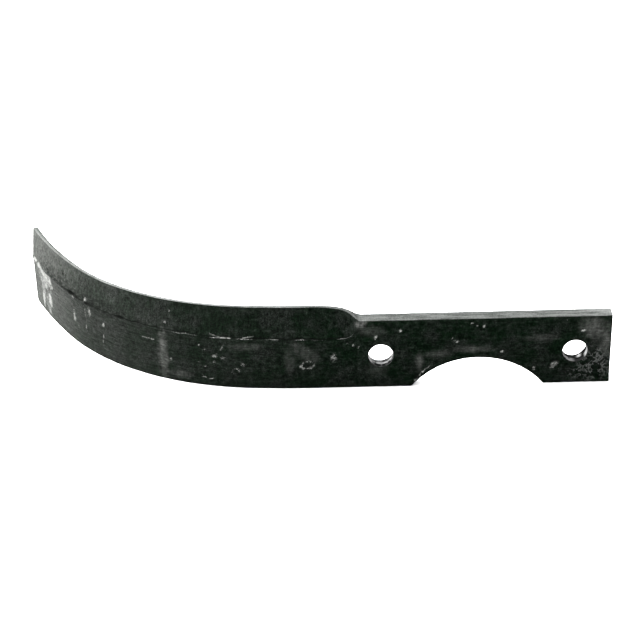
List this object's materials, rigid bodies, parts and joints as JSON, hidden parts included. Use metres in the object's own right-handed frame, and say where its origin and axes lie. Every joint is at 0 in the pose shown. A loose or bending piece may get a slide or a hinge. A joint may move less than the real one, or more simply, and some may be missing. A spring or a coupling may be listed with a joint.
{
  "type": "rotary tiller blade",
  "caption": "Forged steel tiller blade: a flat bolt-on shank with a tube notch runs through a shoulder into a thin-edged blade that sweeps sideways in one long bend.",
  "frame": {"origin": "midway between the bolt holes, on the face that bears on the rotor flange", "axes": "+X along the shank towards its cut end, with the blade towards -X; -Y out of the bearing face, with the bend going to +Y; +Z across the bar, from the notched edge to the edge that is forged thin"},
  "size_m": [0.253, 0.0983, 0.0367],
  "materials": {
    "forged_steel": "near-black forging scale with an oily sheen, worn to bare grey metal along the bent end, the crease and the cut edges"
  },
  "bodies": {
    "root": {"tiller_blade": "forged_steel"}
  },
  "joints": []
}
